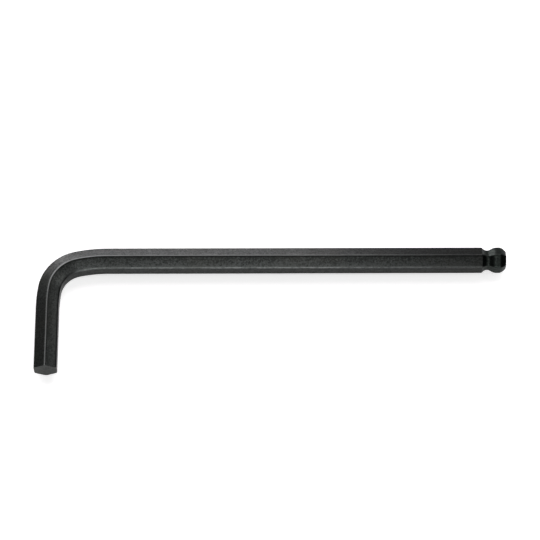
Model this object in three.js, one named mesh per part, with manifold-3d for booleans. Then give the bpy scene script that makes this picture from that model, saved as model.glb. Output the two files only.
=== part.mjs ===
// L-shaped key for hexagon socket screws: one hexagonal steel bar with a ball end on its long arm.
// It lies on its bottom corner lines, with the long arm along +X, the short arm along -Y and +Z up.
// The origin is under the middle of its bounding box, and all sizes are in millimetres.

import * as THREE from "three";
import { mergeVertices } from "three/addons/utils/BufferGeometryUtils.js";
import Module from "manifold-3d";

const { degToRad } = THREE.MathUtils;

// Drawn hexagonal bar
const ACROSS_FLATS = 7; // the key's nominal size
const CORNER_RADIUS = 0.45; // rounding along the six long corners

// Arms, each measured from the outer face of the other arm
const LONG_ARM = 145.3; // to the tip of the ball
const SHORT_ARM = 40.2; // to the square-cut end

// Bend: a tight arc in the middle, eased into each arm by a gentler one
const BEND_RADIUS = 10.7; // of the centreline in the tight arc
const EASE_RADIUS = 45; // of the centreline in the two gentle arcs
const SHORT_EASE_ANGLE = degToRad(8); // part of the turn eased on the short arm's side
const LONG_EASE_ANGLE = degToRad(12.3); // part of the turn eased on the long arm's side

// Ball end: each flat is milled to the same side profile, so every section stays a hexagon
const SHOULDER_ANGLE = degToRad(40); // slope of the ramp from the bar down into the neck
const NECK_DEPTH = 0.82; // below the bar's flats
const NECK_RADIUS = 2; // of the hollow between the two ramps
const BALL_BACK_ANGLE = degToRad(26); // slope of the ramp from the neck up to the ball
const BALL_LAND = 1.8; // length of the ball's widest stretch, level with the bar's flats
const BALL_OVERSIZE = 0.12; // the ball's radius beyond the half width of the bar
const TIP_INSET = 1.2; // from the bar's flats in to the edge of the flat tip

// Short arm's end
const END_CHAMFER = 0.12; // turned off the corners at 45 degrees

// Fineness of the round forms
const BEND_STEP = degToRad(4.5);
const CORNER_STEPS = 3;
const ARC_STEPS = 6;
const TURNED_SIDES = 72;

const RIGHT_ANGLE = Math.PI / 2;
const HALF_FLATS = ACROSS_FLATS / 2;
const section = hexagonSection();
const CORNER_REACH = Math.max(...section.map((point) => point.y));

const wasm = await Module();
wasm.setup();

// The bar's section: a hexagon with rounded corners, two of them straight up and down.
function hexagonSection() {
  const toCorner = (HALF_FLATS - CORNER_RADIUS) / Math.cos(Math.PI / 6);
  const points = [];
  for (let corner = 0; corner < 6; corner++) {
    const direction = Math.PI / 6 + (corner * Math.PI) / 3;
    for (let step = 0; step <= CORNER_STEPS; step++) {
      const angle = direction + (step / CORNER_STEPS - 0.5) * (Math.PI / 3);
      points.push(
        new THREE.Vector2(
          toCorner * Math.cos(direction) + CORNER_RADIUS * Math.cos(angle),
          toCorner * Math.sin(direction) + CORNER_RADIUS * Math.sin(angle),
        ),
      );
    }
  }
  return points;
}

// One section of the bar, square to the way the bar runs there, as a ring of points.
function sectionRing({ x, y, heading, halfFlats }) {
  const scale = halfFlats / HALF_FLATS;
  return section.map((point) => {
    const aside = point.x * scale;
    return new THREE.Vector3(
      x - aside * Math.sin(heading),
      y + aside * Math.cos(heading),
      point.y * scale,
    );
  });
}

// Stations round the bend, from the short arm running along +Y to the long arm running along +X.
// The first lies at the origin.
function bendStations() {
  const arcs = [
    { radius: EASE_RADIUS, turn: SHORT_EASE_ANGLE },
    { radius: BEND_RADIUS, turn: RIGHT_ANGLE - SHORT_EASE_ANGLE - LONG_EASE_ANGLE },
    { radius: EASE_RADIUS, turn: LONG_EASE_ANGLE },
  ];
  const stations = [{ x: 0, y: 0, heading: RIGHT_ANGLE, halfFlats: HALF_FLATS }];
  for (const { radius, turn } of arcs) {
    const start = stations.at(-1);
    const steps = Math.ceil(turn / BEND_STEP);
    for (let step = 1; step <= steps; step++) {
      const heading = start.heading - (turn * step) / steps;
      stations.push({
        x: start.x + radius * (Math.sin(start.heading) - Math.sin(heading)),
        y: start.y + radius * (Math.cos(heading) - Math.cos(start.heading)),
        heading,
        halfFlats: HALF_FLATS,
      });
    }
  }
  return stations;
}

// Side profile of the ball end: x runs from the shoulder to the tip, y is half the width across flats.
function ballProfile() {
  const waist = HALF_FLATS - NECK_DEPTH;
  // In a shallow neck the hollow meets the flats before it reaches the slope of a ramp.
  const steepest = Math.acos(1 - NECK_DEPTH / NECK_RADIUS);
  const shoulderSlope = Math.min(SHOULDER_ANGLE, steepest);
  const backSlope = Math.min(BALL_BACK_ANGLE, steepest);
  const rampLength = (slope) => (NECK_DEPTH - NECK_RADIUS * (1 - Math.cos(slope))) / Math.tan(slope);
  const neckCentre = rampLength(shoulderSlope) + NECK_RADIUS * Math.sin(shoulderSlope);
  const neckStart = -RIGHT_ANGLE - shoulderSlope;
  const neckEnd = backSlope - RIGHT_ANGLE;
  const landStart = neckCentre + NECK_RADIUS * Math.sin(backSlope) + rampLength(backSlope);
  const ballRadius = HALF_FLATS + BALL_OVERSIZE;
  const noseStart = Math.asin(HALF_FLATS / ballRadius);
  const noseEnd = Math.asin((HALF_FLATS - TIP_INSET) / ballRadius);
  const ballCentre = landStart + BALL_LAND - ballRadius * Math.cos(noseStart);
  const shoulder = new THREE.Vector2(0, HALF_FLATS);
  const neckToTip = new THREE.Path()
    .absarc(neckCentre, waist + NECK_RADIUS, NECK_RADIUS, neckStart, neckEnd)
    .lineTo(landStart, HALF_FLATS)
    .absarc(ballCentre, 0, ballRadius, noseStart, noseEnd, true);
  return [shoulder, ...neckToTip.getPoints(ARC_STEPS)];
}

// A closed skin through rings of matching points, flat at both ends.
function loft(rings) {
  const count = section.length;
  const last = (rings.length - 1) * count;
  const triangles = [];
  for (let base = 0; base < last; base += count)
    for (let i = 0; i < count; i++) {
      const next = (i + 1) % count;
      triangles.push(base + i, base + next, base + count + i);
      triangles.push(base + next, base + count + next, base + count + i);
    }
  for (const [a, b, c] of THREE.ShapeUtils.triangulateShape(section, [])) {
    triangles.push(a, c, b);
    triangles.push(last + a, last + b, last + c);
  }
  return new THREE.BufferGeometry().setFromPoints(rings.flat()).setIndex(triangles);
}

// The whole bar, from the short arm's end round the bend to the ball's tip. The two arms' axes cross
// at the origin.
function bentBar() {
  const bend = bendStations();
  const shortSetback = bend.at(-1).y;
  const profile = ballProfile();
  const ballLength = profile.at(-1).x;
  const shortEnd = HALF_FLATS - SHORT_ARM;
  const shoulder = LONG_ARM - HALF_FLATS - ballLength;
  const stations = [
    { x: 0, y: shortEnd, heading: RIGHT_ANGLE, halfFlats: HALF_FLATS },
    ...bend.map((station) => ({ ...station, y: station.y - shortSetback })),
    ...profile.map(({ x, y }) => ({ x: shoulder + x, y: 0, heading: 0, halfFlats: y })),
  ];
  return loft(stations.map(sectionRing));
}

// The ring that a lathe tool sweeps to chamfer the corners at the short arm's end. Its sloping side
// runs on past the chamfer at both ends by the chamfer's own width.
function endChamferCut() {
  const end = HALF_FLATS - SHORT_ARM;
  const outside = CORNER_REACH + END_CHAMFER;
  const inside = CORNER_REACH - 2 * END_CHAMFER;
  const before = end - END_CHAMFER;
  const behind = end + 2 * END_CHAMFER;
  const tip = new THREE.Vector2(inside, before);
  const outerEdge = new THREE.Vector2(outside, before);
  const heel = new THREE.Vector2(outside, behind);
  return new THREE.LatheGeometry([tip, outerEdge, heel, tip], TURNED_SIDES);
}

// A closed geometry as a solid that can be cut.
function solidOf(geometry) {
  const bare = new THREE.BufferGeometry().setAttribute("position", geometry.getAttribute("position"));
  const merged = mergeVertices(bare.setIndex(geometry.index));
  return new wasm.Manifold(
    new wasm.Mesh({
      numProp: 3,
      vertProperties: merged.attributes.position.array,
      triVerts: Uint32Array.from(merged.index.array),
    }),
  );
}

// A solid's surface as a geometry to show.
function geometryOf(solid) {
  const { vertProperties, triVerts } = solid.getMesh();
  return new THREE.BufferGeometry()
    .setAttribute("position", new THREE.BufferAttribute(vertProperties, 3))
    .setIndex(new THREE.BufferAttribute(triVerts, 1));
}

const blackenedSteel = new THREE.MeshStandardMaterial({
  color: 0x333635,
  roughness: 0.5,
  metalness: 0.7,
  flatShading: true,
});

const keySolid = solidOf(bentBar()).subtract(solidOf(endChamferCut()));
const hexKey = new THREE.Mesh(geometryOf(keySolid), blackenedSteel);
hexKey.name = "hex_key";
hexKey.position.set(HALF_FLATS - LONG_ARM / 2, SHORT_ARM / 2 - HALF_FLATS, CORNER_REACH);

const key = new THREE.Group();
key.add(hexKey);

export default key;
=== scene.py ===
"""A blackened ball-end hex key lying on a pale studio floor."""

import logging
import math
from dataclasses import dataclass, field
from enum import IntEnum
from typing import Any

import bmesh
import bpy
from mathutils import Matrix, Quaternion, Vector


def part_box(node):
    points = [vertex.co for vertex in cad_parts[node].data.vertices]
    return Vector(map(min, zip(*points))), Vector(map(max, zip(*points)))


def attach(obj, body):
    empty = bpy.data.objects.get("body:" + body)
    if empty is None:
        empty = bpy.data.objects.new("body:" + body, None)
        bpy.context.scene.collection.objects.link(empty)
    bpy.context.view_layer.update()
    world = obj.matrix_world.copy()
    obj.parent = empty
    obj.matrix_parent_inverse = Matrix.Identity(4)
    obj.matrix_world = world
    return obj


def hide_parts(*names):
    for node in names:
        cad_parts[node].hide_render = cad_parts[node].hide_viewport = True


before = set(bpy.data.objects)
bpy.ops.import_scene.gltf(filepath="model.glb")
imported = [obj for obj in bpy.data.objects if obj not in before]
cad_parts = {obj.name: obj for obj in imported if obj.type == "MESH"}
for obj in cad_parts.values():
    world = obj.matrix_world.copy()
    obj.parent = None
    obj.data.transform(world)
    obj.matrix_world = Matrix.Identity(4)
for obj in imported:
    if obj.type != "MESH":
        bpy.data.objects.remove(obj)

LOG = logging.getLogger("hex_key_scene")
MM = 0.001  # metres in a millimetre
IMAGE_SIDE = 540  # pixels along the picture's sides
SENSOR_WIDTH = 36.0  # mm
STRAIGHT = "straight_bar_mm"  # each point's place in the bar before it was bent
FLAT_HALF_WIDTH = 1.98  # mm, from the middle of a flat to the crests of its two corners
FLAT_FADE = 0.2  # mm past a flat's crests, over which its gradient ends
TOP_CORNER = (3.5, 3.7)  # mm above the bar's axis, where the top corner begins and is whole


def linear(code: str) -> tuple[float, float, float, float]:
    """Turns an sRGB hex colour into a linear one.

    Args:
        code: The colour as six hex digits after a hash sign.

    Returns:
        Linear red, green and blue, and an alpha of 1.
    """
    channels = [int(code[i : i + 2], 16) / 255 for i in (1, 3, 5)]
    curved = [c / 12.92 if c <= 0.04045 else ((c + 0.055) / 1.055) ** 2.4 for c in channels]
    return (*curved, 1.0)


def add_node(
    tree: bpy.types.NodeTree,
    kind: str,
    settings: dict[str, Any] | None = None,
    inputs: dict[str | int, Any] | None = None,
) -> bpy.types.Node:
    """Adds a node to a tree with its settings, constants and links.

    Args:
        tree: The node tree that gets the node.
        kind: The node's type name.
        settings: Properties of the node, by name.
        inputs: Values or output sockets for its inputs, by name or position.

    Returns:
        The new node.
    """
    node = tree.nodes.new(kind)
    for name, value in (settings or {}).items():
        setattr(node, name, value)
    for key, value in (inputs or {}).items():
        if isinstance(value, bpy.types.NodeSocket):
            tree.links.new(value, node.inputs[key])
        else:
            node.inputs[key].default_value = value
    return node


class Surface(IntEnum):
    """The ways in which the key's surfaces were made, as material slots."""

    DRAWN = 0
    MILLED = 1
    CUT = 2


@dataclass(frozen=True)
class BlackOxideSteel:
    """Steel whose own surface was turned to a thin black oxide and oiled.

    The oxide is dark and satin, and darker at glancing angles than bare metal. It follows the
    marks of the tool that made the surface, looks mottled where it grew unevenly, has a faint
    green and brown cast, and wears to grey steel on the corners, whose pale colour is also a
    painted highlight. One flat lightens from its top corner down, and painted shade darkens
    thin lines beside the corners and the bar towards the ball end.
    """

    name: str
    black: str  # colour where the oxide is thick
    grey: str  # colour where the oxide is thin
    brown: str  # colour of the patches with a warm cast
    worn_and_highlight: str  # colour of steel that shows through on the corners, and of the painted highlight there
    roughness: float
    grain_mm: tuple[float, float]  # length and width of the tool's marks, drawn coarse to show
    mottle_mm: float  # size of the uneven patches
    speckle_mm: float  # size of the specks in them
    wear_and_highlight: float  # how much of the corners is worn and painted with highlight, from 0 to 1
    flat_gradient: float  # how much lighter and smoother one flat gets from its top corner to the next
    mark_depth_mm: float  # depth of the tool's marks
    painted_line_shade: float = 0.0  # how dark the painted shade in lines beside the corners is, from 0 to 1
    ball_end_shade: float = 1.0  # brightness left at the ball end by painted shade, darker towards that end
    glancing: str = "#d0d0d0"  # tint of what it reflects at glancing angles
    sheen_swing: float = 0.05  # how far the roughness goes either way with the oxide's thickness

    # The noise that makes the oxide uneven
    mottle_share: float = 0.6  # of the patches, mixed with the tool's marks
    speckle_share: float = 0.4  # of the specks, mixed with both
    thin_range: tuple[float, float] = (0.36, 0.64)  # from thick to thin oxide
    cast_mm: float = 9.0  # size of the patches with a warm cast
    cast_range: tuple[float, float] = (0.45, 0.7)  # from no warm cast to the warmest
    warmth: float = 0.2  # share of brown in the warmest patches

    # Wear, whose pale colour is also painted highlight on the corners
    crest_mm: tuple[float, float] = (3.89, 3.95)  # from the bar's axis to where its corners wear
    chip_mm: float = 1.6  # size of the chips in the corners
    chip_range: tuple[float, float] = (0.38, 0.62)  # of the noise, from whole corner to chip
    chip_wear: tuple[float, float] = (0.14, 0.51)  # share worn off between the chips and in them
    flank_gain: float = 4.0  # strength of the wear and painted highlight beside the lower corner of the flat with the gradient
    flank_power: float = 3.0  # how closely that wear keeps to the corner
    top_wear: tuple[float, float, float] = (0.27, 0.68, 0.46)  # on short arm, bend and long arm
    into_bend_mm: tuple[float, float] = (23.0, 33.0)  # along the bar, where the bend's wear begins
    past_bend_mm: tuple[float, float] = (45.0, 58.0)  # along the bar, where the bend's wear ends
    ball_fade_mm: tuple[float, float] = (112.0, 165.0)  # along the bar, where painted shade darkens it and wear and painted highlight fade
    ball_wear: float = 0.25  # share of the wear and painted highlight that is left at the ball end

    # Painted shade in thin dark lines beside the corners
    top_line_mm: tuple[float, float] = (0.34, 0.3)  # below the top corner, and its half width
    top_line: float = 0.6  # how dark that line is beside the other painted shade lines
    inner_line_mm: float = 0.9  # half width of the line on the inner corner
    inner_end_mm: tuple[float, float] = (32.0, 41.0)  # along the bar, where that line ends
    low_line_mm: float = 0.6  # half width of the lines on the lower corners

    def make(self) -> bpy.types.Material:
        """Builds the finish as a node material.

        Returns:
            The finished material.
        """
        material = bpy.data.materials.new(self.name)
        material.use_nodes = True
        tree = material.node_tree
        tree.nodes.clear()
        bar = add_node(tree, "ShaderNodeAttribute", {"attribute_name": STRAIGHT}).outputs["Vector"]
        thinness = self._thinness(tree, bar)
        shader = add_node(
            tree,
            "ShaderNodeBsdfPrincipled",
            inputs={
                "Base Color": self._colour(tree, bar, thinness),
                "Metallic": 1.0,
                "Specular Tint": linear(self.glancing),
                "Roughness": add_node(
                    tree,
                    "ShaderNodeMapRange",
                    inputs={
                        "Value": thinness,
                        "To Min": self.roughness + self.sheen_swing,
                        "To Max": self.roughness - self.sheen_swing,
                    },
                ).outputs["Result"],
                "Normal": add_node(
                    tree,
                    "ShaderNodeBump",
                    inputs={
                        "Strength": 1.0,
                        "Distance": self.mark_depth_mm * MM,
                        "Height": thinness,
                    },
                ).outputs["Normal"],
            },
        )
        add_node(tree, "ShaderNodeOutputMaterial", inputs={"Surface": shader.outputs["BSDF"]})
        return material

    def _thinness(
        self, tree: bpy.types.NodeTree, bar: bpy.types.NodeSocket
    ) -> bpy.types.NodeSocket:
        """Makes the pattern of thick and thin oxide.

        Args:
            tree: The material's node tree.
            bar: Each point's place in the straight bar, in mm.

        Returns:
            The socket of a pattern from 0, thick, to 1, thin.
        """
        length, width = self.grain_mm
        along = add_node(
            tree,
            "ShaderNodeVectorMath",
            {"operation": "MULTIPLY"},
            {0: bar, 1: (1 / length, 1 / width, 1 / width)},
        ).outputs["Vector"]
        grain = add_node(
            tree,
            "ShaderNodeTexNoise",
            inputs={"Vector": along, "Scale": 1.0, "Detail": 4.0, "Roughness": 0.6},
        ).outputs["Fac"]
        mottle = add_node(
            tree,
            "ShaderNodeTexNoise",
            inputs={"Vector": bar, "Scale": 1 / self.mottle_mm, "Detail": 5.0, "Roughness": 0.7},
        ).outputs["Fac"]
        speckle = add_node(
            tree,
            "ShaderNodeTexNoise",
            inputs={"Vector": bar, "Scale": 1 / self.speckle_mm, "Detail": 1.0},
        ).outputs["Fac"]
        streaked = add_node(
            tree,
            "ShaderNodeMix",
            {"data_type": "FLOAT"},
            {0: self.mottle_share, 2: grain, 3: mottle},
        ).outputs[0]
        uneven = add_node(
            tree,
            "ShaderNodeMix",
            {"data_type": "FLOAT"},
            {0: self.speckle_share, 2: streaked, 3: speckle},
        ).outputs[0]
        # One flat gets lighter and smoother from its top corner to the next.
        thin = add_node(
            tree, "ShaderNodeMath", {"operation": "ADD"}, {0: uneven, 1: self._across_flat_gradient(tree, bar)}
        ).outputs[0]
        return add_node(
            tree,
            "ShaderNodeMapRange",
            {"interpolation_type": "SMOOTHSTEP"},
            {"Value": thin, "From Min": self.thin_range[0], "From Max": self.thin_range[1]},
        ).outputs["Result"]

    def _across_flat_gradient(
        self, tree: bpy.types.NodeTree, bar: bpy.types.NodeSocket
    ) -> bpy.types.NodeSocket:
        """Makes the flat that gets lighter and smoother from the top corner to the next one.

        Args:
            tree: The material's node tree.
            bar: Each point's place in the straight bar, in mm.

        Returns:
            The socket of what the gradient adds to the oxide's thinness.
        """
        across = self._across(tree, bar)
        slope = add_node(
            tree,
            "ShaderNodeMapRange",
            inputs={
                "Value": across,
                "From Min": -FLAT_HALF_WIDTH,
                "From Max": FLAT_HALF_WIDTH,
                "To Min": -self.flat_gradient,
                "To Max": self.flat_gradient,
            },
        ).outputs["Result"]
        aside = add_node(tree, "ShaderNodeMath", {"operation": "ABSOLUTE"}, {0: across}).outputs[0]
        inside = add_node(
            tree,
            "ShaderNodeMapRange",
            inputs={
                "Value": aside,
                "From Min": FLAT_HALF_WIDTH,
                "From Max": FLAT_HALF_WIDTH + FLAT_FADE,
                "To Min": 1.0,
                "To Max": 0.0,
            },
        ).outputs["Result"]
        return add_node(
            tree, "ShaderNodeMath", {"operation": "MULTIPLY"}, {0: slope, 1: inside}
        ).outputs[0]

    def _across(
        self, tree: bpy.types.NodeTree, bar: bpy.types.NodeSocket
    ) -> bpy.types.NodeSocket:
        """Measures across the flat with the gradient, in mm from its middle towards the inside of
        the bend.

        Args:
            tree: The material's node tree.
            bar: Each point's place in the straight bar, in mm.

        Returns:
            The measure's socket.
        """
        tilt = math.pi / 6
        return add_node(
            tree,
            "ShaderNodeVectorMath",
            {"operation": "DOT_PRODUCT"},
            {0: bar, 1: (0.0, math.cos(tilt), -math.sin(tilt))},
        ).outputs["Value"]

    def _colour(
        self, tree: bpy.types.NodeTree, bar: bpy.types.NodeSocket, thinness: bpy.types.NodeSocket
    ) -> bpy.types.NodeSocket:
        """Makes the colour from the oxide's thinness, the warm cast, the wear and painted
        highlight, and painted shade.

        Args:
            tree: The material's node tree.
            bar: Each point's place in the straight bar, in mm.
            thinness: The pattern of thick and thin oxide.

        Returns:
            The colour's socket.
        """
        oxide = add_node(
            tree,
            "ShaderNodeMix",
            {"data_type": "RGBA"},
            {0: thinness, 6: linear(self.black), 7: linear(self.grey)},
        ).outputs[2]
        cast = add_node(
            tree,
            "ShaderNodeTexNoise",
            inputs={"Vector": bar, "Scale": 1 / self.cast_mm, "Detail": 2.0},
        ).outputs["Fac"]
        warmth = add_node(
            tree,
            "ShaderNodeMapRange",
            inputs={
                "Value": cast,
                "From Min": self.cast_range[0],
                "From Max": self.cast_range[1],
                "To Max": self.warmth,
            },
        ).outputs["Result"]
        tinted = add_node(
            tree,
            "ShaderNodeMix",
            {"data_type": "RGBA"},
            {0: warmth, 6: oxide, 7: linear(self.brown)},
        ).outputs[2]
        # Worn steel on the corners, whose pale colour is also painted highlight.
        worn_and_highlight = add_node(
            tree,
            "ShaderNodeMix",
            {"data_type": "RGBA"},
            {0: self._wear_and_highlight_mask(tree, bar), 6: tinted, 7: linear(self.worn_and_highlight)},
        ).outputs[2]
        # Painted shade: dark lines beside the corners, and darkening towards the ball end.
        return add_node(
            tree,
            "ShaderNodeVectorMath",
            {"operation": "SCALE"},
            {0: worn_and_highlight, "Scale": self._painted_shade(tree, bar)},
        ).outputs["Vector"]

    def _wear_and_highlight_mask(
        self, tree: bpy.types.NodeTree, bar: bpy.types.NodeSocket
    ) -> bpy.types.NodeSocket:
        """Makes the mask of worn steel and painted highlight on the corners and beside the lower
        corner of the flat with the gradient.

        The top corner is worn evenly and the others in chips. The pale colour is also painted
        highlight on the corners. Wear and painted highlight fade towards the ball.

        Args:
            tree: The material's node tree.
            bar: Each point's place in the straight bar, in mm.

        Returns:
            The socket of a mask from 0 to 1.
        """
        axes = add_node(tree, "ShaderNodeSeparateXYZ", inputs={0: bar})
        section = add_node(
            tree, "ShaderNodeCombineXYZ", inputs={1: axes.outputs["Y"], 2: axes.outputs["Z"]}
        ).outputs[0]
        reach = add_node(
            tree, "ShaderNodeVectorMath", {"operation": "LENGTH"}, {0: section}
        ).outputs["Value"]
        crest = add_node(
            tree,
            "ShaderNodeMapRange",
            {"interpolation_type": "SMOOTHSTEP"},
            {"Value": reach, "From Min": self.crest_mm[0], "From Max": self.crest_mm[1]},
        ).outputs["Result"]
        flank = add_node(
            tree,
            "ShaderNodeMath",
            {"operation": "MULTIPLY"},
            {0: self._across_flat_gradient(tree, bar), 1: self.flank_gain},
        ).outputs[0]
        beside_lower_corner = add_node(
            tree,
            "ShaderNodeMath",
            {"operation": "POWER", "use_clamp": True},
            {0: flank, 1: self.flank_power},
        ).outputs[0]
        bare = add_node(
            tree, "ShaderNodeMath", {"operation": "MAXIMUM"}, {0: crest, 1: beside_lower_corner}
        ).outputs[0]
        chips = add_node(
            tree,
            "ShaderNodeTexNoise",
            inputs={"Vector": bar, "Scale": 1 / self.chip_mm, "Detail": 3.0},
        ).outputs["Fac"]
        chipped = add_node(
            tree,
            "ShaderNodeMapRange",
            {"interpolation_type": "SMOOTHSTEP"},
            {
                "Value": chips,
                "From Min": self.chip_range[0],
                "From Max": self.chip_range[1],
                "To Min": self.chip_wear[0],
                "To Max": self.chip_wear[1],
            },
        ).outputs["Result"]
        topmost = add_node(
            tree,
            "ShaderNodeMapRange",
            inputs={
                "Value": axes.outputs["Z"],
                "From Min": TOP_CORNER[0],
                "From Max": TOP_CORNER[1],
            },
        ).outputs["Result"]
        broken = add_node(
            tree,
            "ShaderNodeMix",
            {"data_type": "FLOAT"},
            {0: topmost, 2: chipped, 3: self._top_wear(tree, axes.outputs["X"])},
        ).outputs[0]
        # Wear and painted highlight fade towards the ball end.
        ball_side = add_node(
            tree,
            "ShaderNodeMapRange",
            inputs={
                "Value": axes.outputs["X"],
                "From Min": self.ball_fade_mm[0],
                "From Max": self.ball_fade_mm[1],
                "To Min": self.wear_and_highlight,
                "To Max": self.ball_wear * self.wear_and_highlight,
            },
        ).outputs["Result"]
        kept = add_node(
            tree, "ShaderNodeMath", {"operation": "MULTIPLY"}, {0: broken, 1: ball_side}
        ).outputs[0]
        return add_node(
            tree, "ShaderNodeMath", {"operation": "MULTIPLY"}, {0: bare, 1: kept}
        ).outputs[0]

    def _top_wear(
        self, tree: bpy.types.NodeTree, along: bpy.types.NodeSocket
    ) -> bpy.types.NodeSocket:
        """Makes the share of the top corner that is worn and painted with highlight, most in the
        bend.

        Args:
            tree: The material's node tree.
            along: Each point's place along the bar, in mm.

        Returns:
            The share's socket.
        """
        on_short_arm, on_bend, on_long_arm = self.top_wear
        into_bend, past_bend = (
            add_node(
                tree,
                "ShaderNodeMapRange",
                {"interpolation_type": "SMOOTHSTEP"},
                {
                    "Value": along,
                    "From Min": start,
                    "From Max": end,
                    "To Min": before,
                    "To Max": after,
                },
            ).outputs["Result"]
            for (start, end), before, after in (
                (self.into_bend_mm, on_short_arm, on_bend),
                (self.past_bend_mm, on_bend, on_long_arm),
            )
        )
        return add_node(
            tree, "ShaderNodeMath", {"operation": "MINIMUM"}, {0: into_bend, 1: past_bend}
        ).outputs[0]

    def _painted_shade(
        self, tree: bpy.types.NodeTree, bar: bpy.types.NodeSocket
    ) -> bpy.types.NodeSocket:
        """Makes the brightness that painted shade leaves, darker towards the ball end.

        Painted shade lies in a thin line under the top corner, on the inner corner of the short
        arm and the bend, and on the lower corners of the two upright flats.

        Args:
            tree: The material's node tree.
            bar: Each point's place in the straight bar, in mm.

        Returns:
            The socket of a factor from 0 to 1.
        """
        axes = add_node(tree, "ShaderNodeSeparateXYZ", inputs={0: bar})
        along = axes.outputs["X"]
        # Painted shade that darkens the bar towards the ball end.
        shade_factor = add_node(
            tree,
            "ShaderNodeMapRange",
            inputs={
                "Value": along,
                "From Min": self.ball_fade_mm[0],
                "From Max": self.ball_fade_mm[1],
                "To Min": 1.0,
                "To Max": self.ball_end_shade,
            },
        ).outputs["Result"]
        across = self._across(tree, bar)
        short_side = add_node(
            tree,
            "ShaderNodeMapRange",
            {"interpolation_type": "SMOOTHSTEP"},
            {
                "Value": along,
                "From Min": self.inner_end_mm[0],
                "From Max": self.inner_end_mm[1],
                "To Min": self.painted_line_shade,
                "To Max": 0.0,
            },
        ).outputs["Result"]
        # Painted shade in thin dark lines beside the corners.
        below, half_width = self.top_line_mm
        lines = (
            (across, -FLAT_HALF_WIDTH + below, half_width, self.top_line * self.painted_line_shade),
            (across, FLAT_HALF_WIDTH, self.inner_line_mm, short_side),
            (axes.outputs["Z"], -FLAT_HALF_WIDTH, self.low_line_mm, self.painted_line_shade),
        )
        for measure, middle, spread, dark in lines:
            offset = add_node(
                tree, "ShaderNodeMath", {"operation": "SUBTRACT"}, {0: measure, 1: middle}
            ).outputs[0]
            gap = add_node(
                tree, "ShaderNodeMath", {"operation": "ABSOLUTE"}, {0: offset}
            ).outputs[0]
            line = add_node(
                tree,
                "ShaderNodeMapRange",
                {"interpolation_type": "SMOOTHSTEP"},
                {"Value": gap, "From Max": spread, "To Min": dark, "To Max": 0.0},
            ).outputs["Result"]
            left = add_node(
                tree, "ShaderNodeMath", {"operation": "SUBTRACT"}, {0: 1.0, 1: line}
            ).outputs[0]
            shade_factor = add_node(
                tree, "ShaderNodeMath", {"operation": "MULTIPLY"}, {0: shade_factor, 1: left}
            ).outputs[0]
        return shade_factor


@dataclass
class BallEnd:
    """The hexagonal ball on the long arm's end. Sizes are in mm, angles in degrees."""

    shoulder_angle: float = 40.0  # slope of the ramp from the bar down into the neck
    neck_depth: float = 0.82  # below the bar's flats
    neck_radius: float = 2.0  # of the hollow between the two ramps
    back_angle: float = 26.0  # slope of the ramp from the neck up to the ball
    land: float = 1.8  # length of the ball's widest stretch
    oversize: float = 0.12  # the ball's radius beyond the half width of the bar
    tip_inset: float = 1.2  # from the bar's flats in to the edge of the flat tip
    crown_radius: float = 3.5  # rounding where the back ramp meets the widest stretch
    arc_steps: int = 12  # in each arc of the profile

    def profile(self, half_flats: float) -> list[tuple[float, float]]:
        """Works out the side profile from the shoulder to the tip.

        Args:
            half_flats: Half the bar's width across flats.

        Returns:
            Distances from the shoulder, each with half the width across flats there.
        """
        shoulder = math.radians(self.shoulder_angle)
        back = math.radians(self.back_angle)
        waist = half_flats - self.neck_depth
        neck = self._ramp(shoulder) + self.neck_radius * math.sin(shoulder)
        land_start = neck + self.neck_radius * math.sin(back) + self._ramp(back)
        ball_radius = half_flats + self.oversize
        nose_start = math.asin(half_flats / ball_radius)
        nose_end = math.asin((half_flats - self.tip_inset) / ball_radius)
        ball_centre = land_start + self.land - ball_radius * math.cos(nose_start)
        points = [(0.0, half_flats)]
        for step in range(self.arc_steps + 1):
            turn = -shoulder + (shoulder + back) * step / self.arc_steps
            points.append(
                (
                    neck + self.neck_radius * math.sin(turn),
                    waist + self.neck_radius * (1 - math.cos(turn)),
                )
            )
        crown = land_start + self.crown_radius * math.tan(back / 2)
        for step in range(self.arc_steps + 1):
            turn = back * (1 - step / self.arc_steps)
            points.append(
                (
                    crown - self.crown_radius * math.sin(turn),
                    half_flats - self.crown_radius * (1 - math.cos(turn)),
                )
            )
        for step in range(self.arc_steps + 1):
            turn = nose_start + (nose_end - nose_start) * step / self.arc_steps
            points.append(
                (ball_centre + ball_radius * math.cos(turn), ball_radius * math.sin(turn))
            )
        return points

    def _ramp(self, slope: float) -> float:
        """Gives the length of a straight ramp between the neck's hollow and the flats."""
        return (self.neck_depth - self.neck_radius * (1 - math.cos(slope))) / math.tan(slope)


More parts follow.
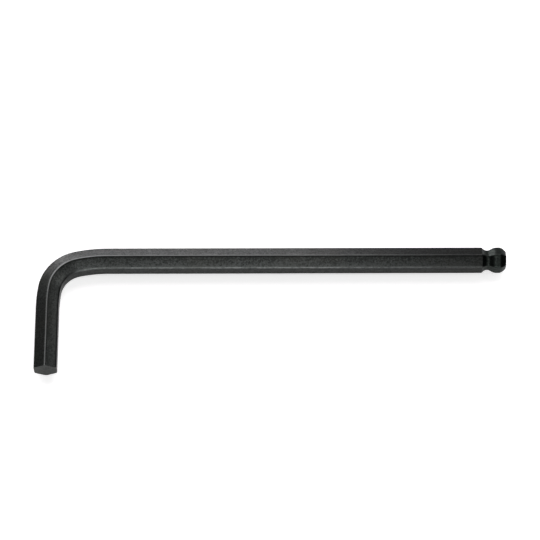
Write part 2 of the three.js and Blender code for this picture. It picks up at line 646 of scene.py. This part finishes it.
@dataclass
class HexKey:
    """One hexagonal bar, bent square, with a ball end. Sizes are in mm, angles in degrees."""

    across_flats: float = 7.0
    corner_radius: float = 0.45  # rounding along the six long corners
    long_arm: float = 145.3  # from the short arm's outer face to the ball's tip
    short_arm: float = 40.2  # from the long arm's outer face to the cut end
    bend_radius: float = 10.7  # of the centreline in the bend's tight arc
    ease_radius: float = 45.0  # of the centreline in the two gentle arcs beside it
    short_ease: float = 8.0  # part of the turn eased on the short arm's side
    long_ease: float = 12.3  # part of the turn eased on the long arm's side
    end_chamfer: float = 0.12  # turned off the corners of the cut end
    edge_break: float = 0.05  # bevel round the cut end's face
    corner_segments: int = 6  # in each corner's rounding
    flat_cuts: int = 7  # points along each flat
    bend_step: float = 1.5  # of the turn in one stretch
    crisp_angle: float = 15.0  # between two faces whose edge stays sharp
    weld: float = 0.001  # points closer than this become one
    ball: BallEnd = field(default_factory=BallEnd)

    def build(self) -> bpy.types.Object:
        """Models the key and places it on its CAD node.

        Returns:
            The finished mesh object.
        """
        mesh = bpy.data.meshes.new("blackened_key")
        piece = bpy.data.objects.new("blackened_key", mesh)
        bpy.context.scene.collection.objects.link(piece)
        self._bm = bmesh.new()
        self._straight = self._bm.verts.layers.float_vector.new(STRAIGHT)
        self._start_section()
        self._short_arm_and_bend()
        self._long_arm_and_ball()
        self._place()
        self._bm.to_mesh(mesh)
        self._bm.free()
        return piece

    def dress(self, piece: bpy.types.Object, finishes: dict[Surface, BlackOxideSteel]) -> None:
        """Gives each kind of surface its finish.

        Args:
            piece: The key's mesh object.
            finishes: A finish for each kind of surface.
        """
        for surface in Surface:
            piece.data.materials.append(finishes[surface].make())

    @property
    def half_flats(self) -> float:
        """Half the bar's width across flats."""
        return self.across_flats / 2

    def _start_section(self) -> None:
        """Makes the bar's section at the short arm's end, with its turned chamfer."""
        bm = self._bm
        bmesh.ops.create_circle(
            bm, cap_ends=True, segments=6, radius=self.half_flats / math.cos(math.pi / 6)
        )
        bmesh.ops.bevel(
            bm,
            geom=bm.verts[:],
            offset=self.corner_radius * math.tan(math.pi / 6),
            offset_type="OFFSET",
            segments=self.corner_segments,
            profile=0.5,
            affect="VERTICES",
            material=-1,
        )
        flats = [edge for edge in bm.edges if edge.calc_length() > self.half_flats / 2]
        bmesh.ops.subdivide_edges(bm, edges=flats, cuts=self.flat_cuts)
        for vert in bm.verts:
            vert[self._straight] = Vector((0.0, vert.co.x, vert.co.y))
        stand = Matrix.Rotation(math.pi / 2, 4, "X")
        bmesh.ops.transform(bm, matrix=stand, verts=bm.verts)
        bmesh.ops.translate(bm, vec=(0, self.half_flats - self.short_arm, 0), verts=bm.verts)
        self._cap = bm.faces[:][0]
        self._cap.material_index = Surface.CUT
        self._turn_chamfer()

    def _turn_chamfer(self) -> None:
        """Pulls the end face in to a circle and a broken edge, and grows both behind it."""
        reach = max(Vector(vert.co.xz).length for vert in self._cap.verts)
        circle = reach - self.end_chamfer
        broken = 1 - self.edge_break / self.half_flats
        for vert in self._cap.verts:
            shrink = min(1.0, circle / Vector(vert.co.xz).length)
            vert.co.xz = Vector(vert.co.xz) * shrink * broken
        for vert in self._grow(Matrix.Identity(4), self.edge_break, Surface.CUT):
            vert.co.xz = Vector(vert.co.xz) / broken
            vert.co.y += self.edge_break
        for vert in self._grow(Matrix.Identity(4), 0.0, Surface.CUT):
            section = Vector(vert[self._straight].yz)
            setback = max(0.0, section.length - circle)
            vert.co.xz = section
            vert.co.y += setback
            vert[self._straight].x += setback

    def _grow(self, move: Matrix, run: float, surface: Surface) -> list[bmesh.types.BMVert]:
        """Extrudes the bar's open end by one stretch.

        Args:
            move: Where the end goes, seen from where it is.
            run: The stretch's length along the bar's centreline.
            surface: How the stretch's skin was made.

        Returns:
            The points of the bar's new end.
        """
        rim = self._cap.edges[:]
        end = [self._cap, *self._cap.edges, *self._cap.verts]
        made = bmesh.ops.extrude_face_region(self._bm, geom=end)["geom"]
        ring = [item for item in made if isinstance(item, bmesh.types.BMVert)]
        self._cap = next(item for item in made if isinstance(item, bmesh.types.BMFace))
        bmesh.ops.transform(self._bm, matrix=move, verts=ring)
        for vert in ring:
            vert[self._straight] += Vector((run, 0, 0))
        for edge in rim:
            for face in edge.link_faces:
                if any(v in ring for v in face.verts):
                    face.material_index = surface
        return ring

    def _short_arm_and_bend(self) -> None:
        """Runs the bar up the short arm and round the bend."""
        arcs = (
            (self.ease_radius, self.short_ease),
            (self.bend_radius, 90 - self.short_ease - self.long_ease),
            (self.ease_radius, self.long_ease),
        )
        heading = 90.0
        setback = 0.0
        for radius, turn in arcs:
            end = math.radians(heading - turn)
            setback += radius * (math.cos(end) - math.cos(math.radians(heading)))
            heading -= turn
        straight = self.short_arm - self.half_flats - setback
        lengthwise = Vector((0, 1, 0))
        for vert in self._grow(Matrix.Identity(4), 0.0, Surface.DRAWN):
            vert.co.y = -setback
            vert[self._straight].x = straight
        centre = Vector((0, -setback, 0))
        for radius, turn in arcs:
            pivot = centre + radius * Vector((lengthwise.y, -lengthwise.x, 0))
            steps = math.ceil(turn / self.bend_step)
            step = math.radians(turn / steps)
            swing = (
                Matrix.Translation(pivot)
                @ Matrix.Rotation(-step, 4, "Z")
                @ Matrix.Translation(-pivot)
            )
            for _ in range(steps):
                self._grow(swing, radius * step, Surface.DRAWN)
                centre = swing @ centre
                lengthwise = Matrix.Rotation(-step, 3, "Z") @ lengthwise
        self._bend_end = centre

    def _long_arm_and_ball(self) -> None:
        """Runs the bar along the long arm to the ball's tip."""
        profile = self.ball.profile(self.half_flats)
        shoulder = self.long_arm - self.half_flats - profile[-1][0]
        place, half = self._bend_end.x, self.half_flats
        stations = [(shoulder, half)] + [(shoulder + x, h) for x, h in profile[1:]]
        for index, (x, next_half) in enumerate(stations):
            move = (
                Matrix.Translation((x, 0, 0))
                @ Matrix.Diagonal((1, next_half / half, next_half / half, 1))
                @ Matrix.Translation((-place, 0, 0))
            )
            surface = Surface.MILLED if index else Surface.DRAWN
            self._grow(move, x - place, surface)
            place, half = x, next_half
        self._cap.material_index = Surface.MILLED

    def _place(self) -> None:
        """Smooths the skin, keeps its crisp edges and moves the key to its CAD node's place."""
        bm = self._bm
        bmesh.ops.remove_doubles(bm, verts=bm.verts[:], dist=self.weld)
        bmesh.ops.recalc_face_normals(bm, faces=bm.faces[:])
        for face in bm.faces:
            face.smooth = True
        crisp = math.radians(self.crisp_angle)
        for edge in bm.edges:
            edge.smooth = edge.calc_face_angle(0.0) <= crisp
        low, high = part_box("hex_key")
        height = (low.z + high.z) / 2
        corner = Vector((low.x, high.y, height)) / MM + Vector((1, -1, 0)) * self.half_flats
        bmesh.ops.translate(bm, vec=corner, verts=bm.verts)
        bmesh.ops.scale(bm, vec=(MM, MM, MM), verts=bm.verts)


@dataclass
class StudioCamera:
    """The camera that took the picture. Sizes are in mm, angles in degrees."""

    aim: tuple[float, float, float] = (-0.75, 10.955, 9.194)  # the point that it looks at
    azimuth: float = -1.82  # from straight in front towards the ball end
    elevation: float = 64.58  # above the floor
    roll: float = 1.5  # about its own line of sight
    distance: float = 717.4  # from the point that it looks at
    focal_pixels: float = 2331.7  # focal length, in pixels of the picture
    reach: tuple[float, float] = (10.0, 100_000.0)  # nearest and farthest that it sees

    def build(self) -> bpy.types.Object:
        """Makes the camera and makes it the scene's own.

        Returns:
            The camera object.
        """
        data = bpy.data.cameras.new("studio_camera")
        data.sensor_width = SENSOR_WIDTH
        data.lens = self.focal_pixels / IMAGE_SIDE * SENSOR_WIDTH
        data.clip_start, data.clip_end = (limit * MM for limit in self.reach)
        camera = bpy.data.objects.new("studio_camera", data)
        bpy.context.scene.collection.objects.link(camera)
        azimuth, elevation = math.radians(self.azimuth), math.radians(self.elevation)
        back = Vector(
            (
                math.sin(azimuth) * math.cos(elevation),
                -math.cos(azimuth) * math.cos(elevation),
                math.sin(elevation),
            )
        )
        camera.location = (Vector(self.aim) + back * self.distance) * MM
        camera.rotation_mode = "QUATERNION"
        level = (-back).to_track_quat("-Z", "Y")
        camera.rotation_quaternion = level @ Quaternion((0, 0, 1), math.radians(self.roll))
        bpy.context.scene.camera = camera
        return camera


@dataclass(frozen=True)
class Softbox:
    """A soft lamp that faces the key. Its place and size are in mm, its power in watts."""

    name: str
    place: tuple[float, float, float]
    size: tuple[float, float]
    power: float
    colour: str = "#ffffff"

    def build(self) -> bpy.types.Object:
        """Makes the lamp and turns it towards the key.

        Returns:
            The lamp object.
        """
        data = bpy.data.lights.new(self.name, "AREA")
        data.shape = "RECTANGLE"
        data.size, data.size_y = (side * MM for side in self.size)
        data.energy = self.power
        data.color = linear(self.colour)[:3]
        lamp = bpy.data.objects.new(self.name, data)
        bpy.context.scene.collection.objects.link(lamp)
        lamp.location = Vector(self.place) * MM
        lamp.rotation_mode = "QUATERNION"
        lamp.rotation_quaternion = (-lamp.location).to_track_quat("-Z", "Y")
        return lamp


@dataclass(frozen=True)
class BlackFlag:
    """A black card that stands beside the key, so that metal facing it reflects no light.

    Only reflections show it. Its place and size are in mm.
    """

    name: str
    place: tuple[float, float, float]
    size: tuple[float, float]
    colour: str = "#080808"

    def build(self) -> bpy.types.Object:
        """Makes the card, standing square to the long arm.

        Returns:
            The card object.
        """
        mesh = bpy.data.meshes.new(self.name)
        bm = bmesh.new()
        bmesh.ops.create_grid(bm, x_segments=1, y_segments=1, size=0.5 * MM)
        bmesh.ops.scale(bm, vec=(self.size[1], self.size[0], 1.0), verts=bm.verts)
        bmesh.ops.rotate(bm, matrix=Matrix.Rotation(-math.pi / 2, 3, "Y"), verts=bm.verts)
        bmesh.ops.translate(bm, vec=Vector(self.place) * MM, verts=bm.verts)
        bm.to_mesh(mesh)
        bm.free()
        card = bpy.data.objects.new(self.name, mesh)
        bpy.context.scene.collection.objects.link(card)
        mesh.materials.append(self._velvet())
        card.visible_camera = False
        card.visible_diffuse = False
        card.visible_shadow = False
        return card

    def _velvet(self) -> bpy.types.Material:
        """Makes the card's black velvet, which sends back next to no light.

        Returns:
            The velvet's material.
        """
        material = bpy.data.materials.new("black_velvet_card")
        material.use_nodes = True
        tree = material.node_tree
        tree.nodes.clear()
        velvet = add_node(tree, "ShaderNodeBsdfDiffuse", inputs={"Color": linear(self.colour)})
        add_node(tree, "ShaderNodeOutputMaterial", inputs={"Surface": velvet.outputs[0]})
        return material


@dataclass
class Studio:
    """The pale floor, the room's even light, the soft lamps and a card. Sizes are in mm."""

    floor_side: float = 6000.0
    floor_drop: float = 0.02  # below the key, so that the two surfaces don't share a plane
    floor_colour: str = "#f4f4f4"
    floor_glow: float = 0.55  # lifts the paper to white to the eye and in reflections
    room_colour: str = "#ffffff"
    room_light: float = 0.05
    lamps: tuple[Softbox, ...] = (
        Softbox("front_softbox", (0.0, -1310.0, 918.0), (700.0, 700.0), 6.5),
        Softbox("right_panel", (694.0, -253.0, 946.0), (900.0, 900.0), 1.96),
        Softbox("back_panel", (0.0, 688.0, 983.0), (1200.0, 800.0), 8.25, "#fef8fc"),
        Softbox("back_left_softbox", (-927.0, 927.0, 918.0), (700.0, 700.0), 4.8),
        Softbox("back_right_softbox", (927.0, 927.0, 918.0), (700.0, 700.0), 2.58),
        Softbox("right_softbox", (1310.0, 0.0, 918.0), (700.0, 700.0), 2.53),
        Softbox("low_back_left_softbox", (-685.0, 1186.0, 291.0), (640.0, 400.0), 2.26, "#fdf6fb"),
        Softbox("near_back_strip", (-80.0, 300.0, 77.0), (240.0, 120.0), 0.42, "#fdf6fb"),
        Softbox("near_front_lamp", (-5.0, -229.0, 328.0), (150.0, 150.0), 0.097),
    )
    flag: BlackFlag = BlackFlag("black_flag", (92.0, 5.0, 35.0), (110.0, 70.0))

    def build(self) -> None:
        """Makes the floor, the room's light, the black card and the lamps."""
        self._floor()
        self._room()
        self.flag.build()
        for lamp in self.lamps:
            lamp.build()

    def _floor(self) -> None:
        """Makes the matt floor, just under the key."""
        mesh = bpy.data.meshes.new("studio_floor")
        bm = bmesh.new()
        bmesh.ops.create_grid(bm, x_segments=1, y_segments=1, size=self.floor_side / 2 * MM)
        bmesh.ops.translate(bm, vec=(0, 0, -self.floor_drop * MM), verts=bm.verts)
        bm.to_mesh(mesh)
        bm.free()
        floor = bpy.data.objects.new("studio_floor", mesh)
        bpy.context.scene.collection.objects.link(floor)
        mesh.materials.append(self._paper())

    def _paper(self) -> bpy.types.Material:
        """Makes the floor's white paper, with a faint glow that lifts it to white in the picture.

        Returns:
            The paper's material.
        """
        material = bpy.data.materials.new("white_background_paper")
        material.use_nodes = True
        tree = material.node_tree
        tree.nodes.clear()
        paper = add_node(
            tree, "ShaderNodeBsdfDiffuse", inputs={"Color": linear(self.floor_colour)}
        ).outputs[0]
        ray = add_node(tree, "ShaderNodeLightPath")
        seen = add_node(
            tree,
            "ShaderNodeMath",
            {"operation": "MAXIMUM"},
            {0: ray.outputs["Is Camera Ray"], 1: ray.outputs["Is Glossy Ray"]},
        ).outputs[0]
        shown = add_node(
            tree,
            "ShaderNodeMath",
            {"operation": "MAXIMUM"},
            {0: seen, 1: ray.outputs["Is Transmission Ray"]},
        ).outputs[0]
        strength = add_node(
            tree, "ShaderNodeMath", {"operation": "MULTIPLY"}, {0: shown, 1: self.floor_glow}
        ).outputs[0]
        glow = add_node(tree, "ShaderNodeEmission", inputs={"Strength": strength}).outputs[0]
        both = add_node(tree, "ShaderNodeAddShader", inputs={0: paper, 1: glow}).outputs[0]
        add_node(tree, "ShaderNodeOutputMaterial", inputs={"Surface": both})
        return material

    def _room(self) -> None:
        """Makes the even light that the room sends back from all sides."""
        world = bpy.data.worlds.new("studio_room")
        world.use_nodes = True
        background = world.node_tree.nodes["Background"]
        background.inputs["Color"].default_value = linear(self.room_colour)
        background.inputs["Strength"].default_value = self.room_light
        bpy.context.scene.world = world


FINISHES = {
    # Cold-drawn bar: faint streaks along it, pale corners that are worn and painted with
    # highlight, painted shade in dark lines beside them and towards the ball end.
    Surface.DRAWN: BlackOxideSteel(
        name="black_oxide_drawn_steel",
        black="#252726",
        grey="#424443",
        brown="#393834",
        worn_and_highlight="#777a79",
        roughness=0.33,
        grain_mm=(5.0, 0.5),
        mottle_mm=0.8,
        speckle_mm=0.45,
        wear_and_highlight=0.9,
        flat_gradient=0.1,
        mark_depth_mm=0.004,
        painted_line_shade=0.85,
        ball_end_shade=0.72,
    ),
    # Milled ball end: short marks across the bar, and colours darker than the bar's, painted shade
    # for the neck's hollow and the ball's dark faces.
    Surface.MILLED: BlackOxideSteel(
        name="black_oxide_milled_steel",
        black="#191d1c",
        grey="#343936",
        brown="#2b2c29",
        worn_and_highlight="#424643",
        roughness=0.33,
        grain_mm=(0.5, 3.0),
        mottle_mm=1.2,
        speckle_mm=0.45,
        wear_and_highlight=0.5,
        flat_gradient=0.0,
        mark_depth_mm=0.003,
    ),
    # Cut end of the short arm: an even, slightly greyer face with no direction in it.
    Surface.CUT: BlackOxideSteel(
        name="black_oxide_cut_steel",
        black="#393b3a",
        grey="#474947",
        brown="#42403c",
        worn_and_highlight="#6e6f6d",
        roughness=0.35,
        grain_mm=(1.0, 1.0),
        mottle_mm=1.0,
        speckle_mm=0.45,
        wear_and_highlight=0.8,
        flat_gradient=0.0,
        mark_depth_mm=0.003,
    ),
}


def main() -> None:
    """Builds the key, the camera and the studio."""
    logging.basicConfig(level=logging.INFO, format="%(message)s")
    bpy.context.scene.view_settings.view_transform = "Standard"
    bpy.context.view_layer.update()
    StudioCamera().build()
    key = HexKey()
    piece = key.build()
    key.dress(piece, FINISHES)
    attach(piece, "root")
    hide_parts("hex_key")
    LOG.info("%s: %d faces", piece.name, len(piece.data.polygons))
    studio = Studio()
    studio.build()
    LOG.info("studio: floor, %s and %d lamps", studio.flag.name, len(studio.lamps))


if __name__ == "__main__":
    main()
